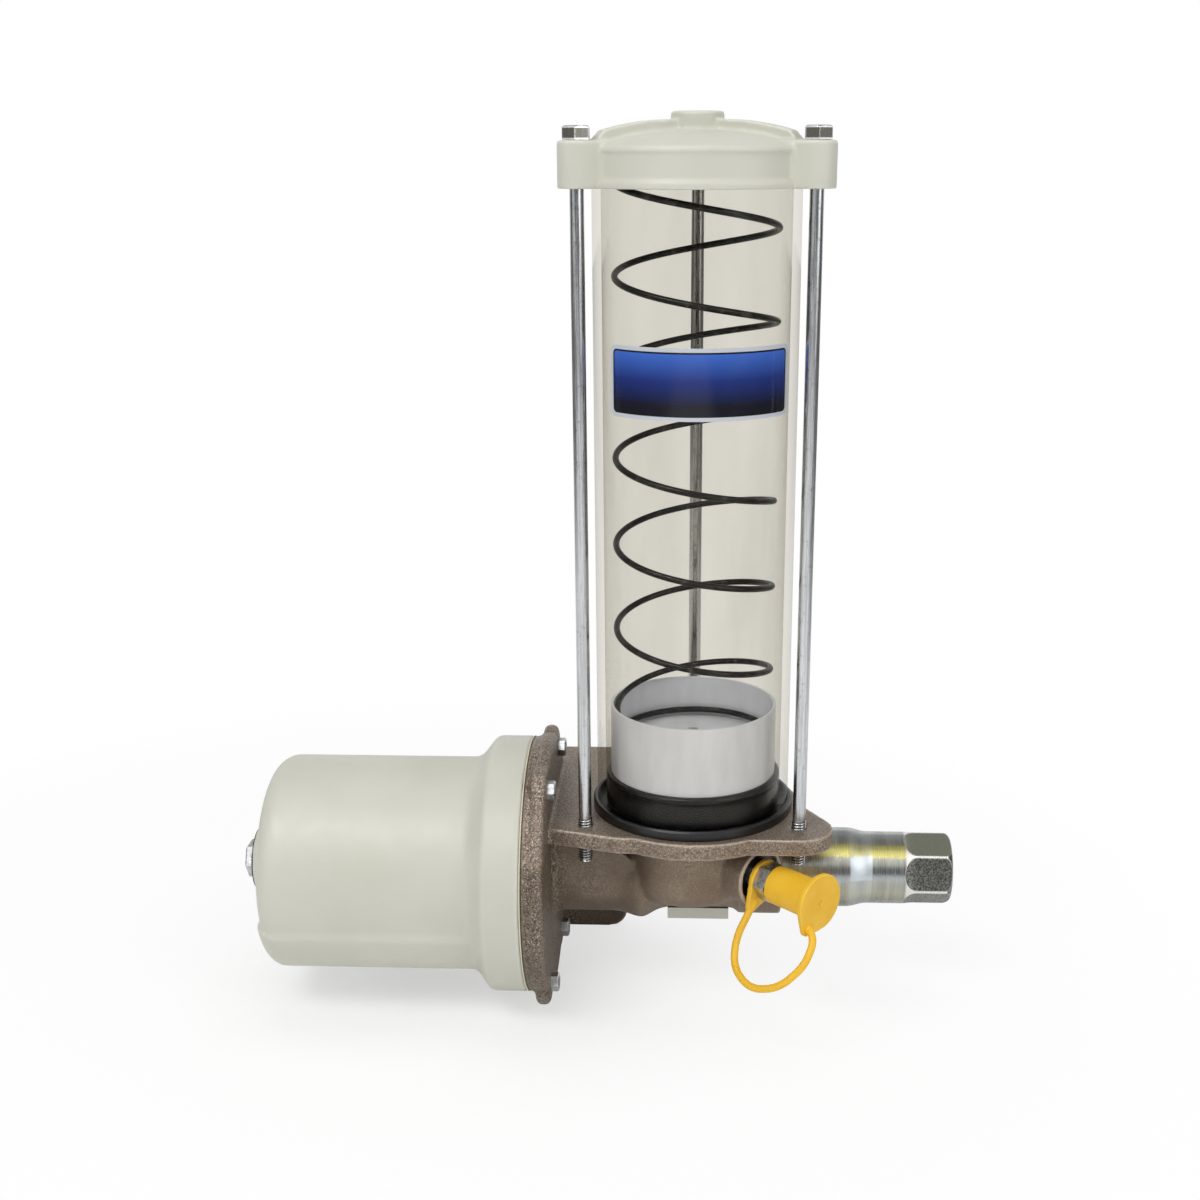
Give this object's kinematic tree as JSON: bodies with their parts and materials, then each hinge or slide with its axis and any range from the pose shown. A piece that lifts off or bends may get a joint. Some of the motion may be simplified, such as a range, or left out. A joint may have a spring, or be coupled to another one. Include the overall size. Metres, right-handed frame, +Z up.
{
  "type": "automatic lubricator",
  "caption": "Air-operated single-stroke grease pump with a clear spring-follower reservoir, cast pump body, air cylinder, outlet check and capped fill fitting.",
  "frame": {"origin": "centre of the outlet port's end face, on the pump axis", "axes": "+X along the pump axis out of the outlet, +Y towards the wall it is bolted to, +Z up along the reservoir"},
  "size_m": [0.407, 0.1799, 0.4945],
  "materials": {
    "cast_brown": "rough bronze-brown casting",
    "cream_paint": "smooth cream paint",
    "zinc_steel": "zinc plated, turned",
    "ground_steel": "ground and hardened",
    "turned_aluminium": "turned",
    "bronze": "sintered",
    "black_rubber": "smooth nitrile",
    "gasket_fibre": "pale fibre sheet",
    "clear_tube": "clear, slightly smoky",
    "black_wire": "black phosphate spring wire",
    "grey_plastic": "moulded, satin",
    "blue_plate": "printed blue plate with a silver rim",
    "yellow_plastic": "soft moulded vinyl"
  },
  "bodies": {
    "housing": {"pump_body": "cast_brown", "air_cylinder": "cream_paint", "air_cylinder_gasket": "gasket_fibre", "flange_screws": "zinc_steel", "inlet_fitting": "zinc_steel", "inlet_seal": "black_rubber", "return_spring": "black_wire", "plunger_gland_nut": "zinc_steel", "plunger_seal": "black_rubber", "plunger_bushing": "bronze", "pump_cylinder": "zinc_steel", "pump_cylinder_seal": "black_rubber", "check_spring": "ground_steel", "check_retainer": "zinc_steel", "reservoir_tube": "clear_tube", "base_gasket": "black_rubber", "lid_gasket": "black_rubber", "reservoir_lid": "cream_paint", "vent_plug": "bronze", "tie_bolts": "zinc_steel", "nameplate": "blue_plate", "follower_spring": "black_wire", "bottom_cover_gasket": "black_rubber", "bottom_cover": "cream_paint", "bottom_cover_screws": "zinc_steel", "fill_fitting_seal": "black_rubber", "fill_fitting": "zinc_steel"},
    "air_motor": {"air_piston": "turned_aluminium", "piston_seal": "black_rubber", "piston_nut": "zinc_steel", "plunger": "ground_steel"},
    "check": {"check_ball": "ground_steel"},
    "follower": {"follower_cup": "grey_plastic", "follower_seal": "black_rubber", "follower_backing_plate": "zinc_steel", "follower_screw": "zinc_steel", "follower_nut": "zinc_steel"},
    "cap": {"dust_cap": "yellow_plastic"}
  },
  "joints": [
    {"name": "follower_slide", "type": "slide", "parent": "housing", "child": "follower", "axis": [0, 0, 1], "range_m": [0, 0.23], "stiffness_N_per_m": 120, "springref_m": -0.3, "deforming": ["follower_spring"]},
    {"name": "plunger_slide", "type": "slide", "parent": "housing", "child": "air_motor", "axis": [1, 0, 0], "range_m": [0, 0.06], "stiffness_N_per_m": 1500, "springref_m": -0.03, "deforming": ["return_spring"]},
    {"name": "check_slide", "type": "slide", "parent": "housing", "child": "check", "axis": [1, 0, 0], "range_m": [0, 0.004], "stiffness_N_per_m": 200, "springref_m": -0.004, "deforming": ["check_spring"]},
    {"name": "dust_cap_swivel", "type": "hinge", "parent": "housing", "child": "cap", "pos_m": [-0.148, 0, 0.0105], "axis": [0.7071, -0.7071, 0], "range_deg": [-30, 37]}
  ]
}
